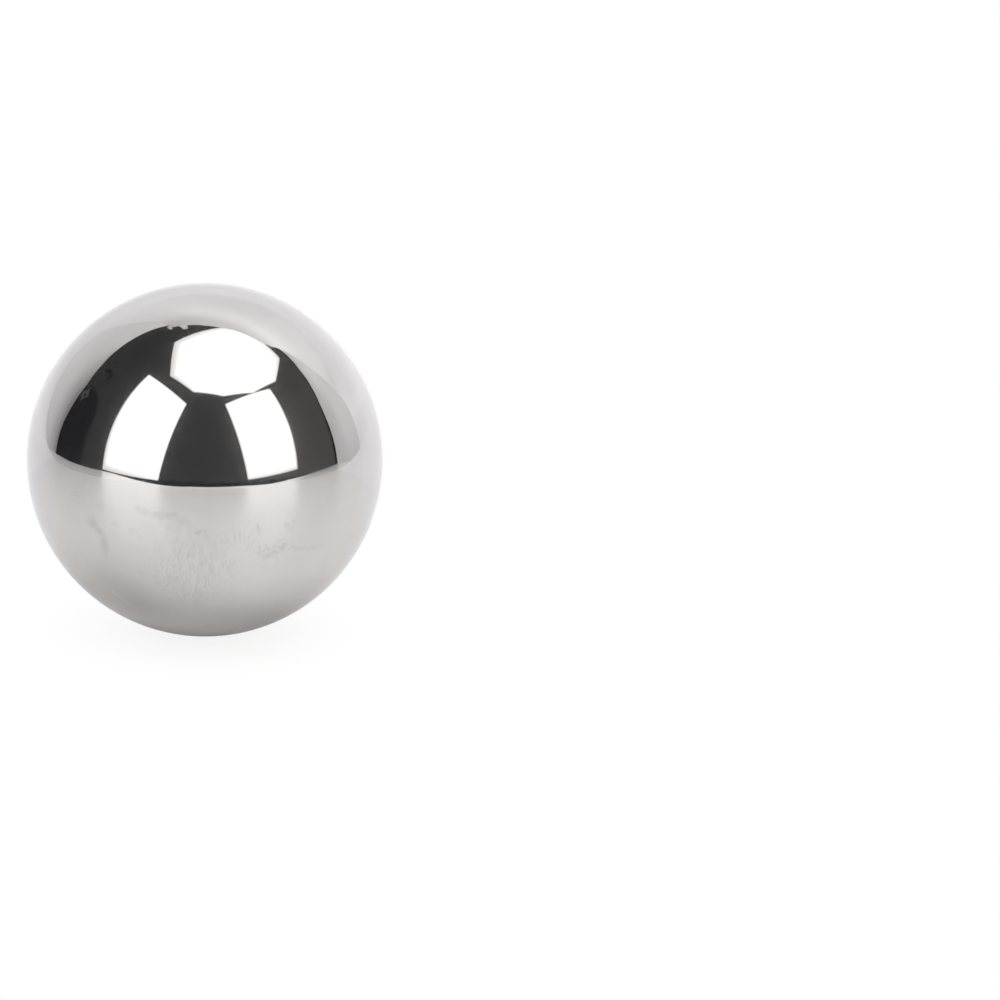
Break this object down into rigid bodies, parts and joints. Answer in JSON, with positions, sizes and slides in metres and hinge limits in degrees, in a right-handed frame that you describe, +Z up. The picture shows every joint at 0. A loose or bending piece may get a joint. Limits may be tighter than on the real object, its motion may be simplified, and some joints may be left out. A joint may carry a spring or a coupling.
{
  "type": "steel ball",
  "caption": "Solid steel ball, ground round and polished to a mirror all over, with no seam, flat or hole.",
  "frame": {"origin": "centre of the ball", "axes": "+Z up, away from the surface that the ball stands on; the ball is the same about every axis, so +X and +Y are free"},
  "size_m": [0.06, 0.06, 0.06],
  "materials": {
    "polished_steel": "polished"
  },
  "bodies": {
    "root": {"ball": "polished_steel"}
  },
  "joints": []
}
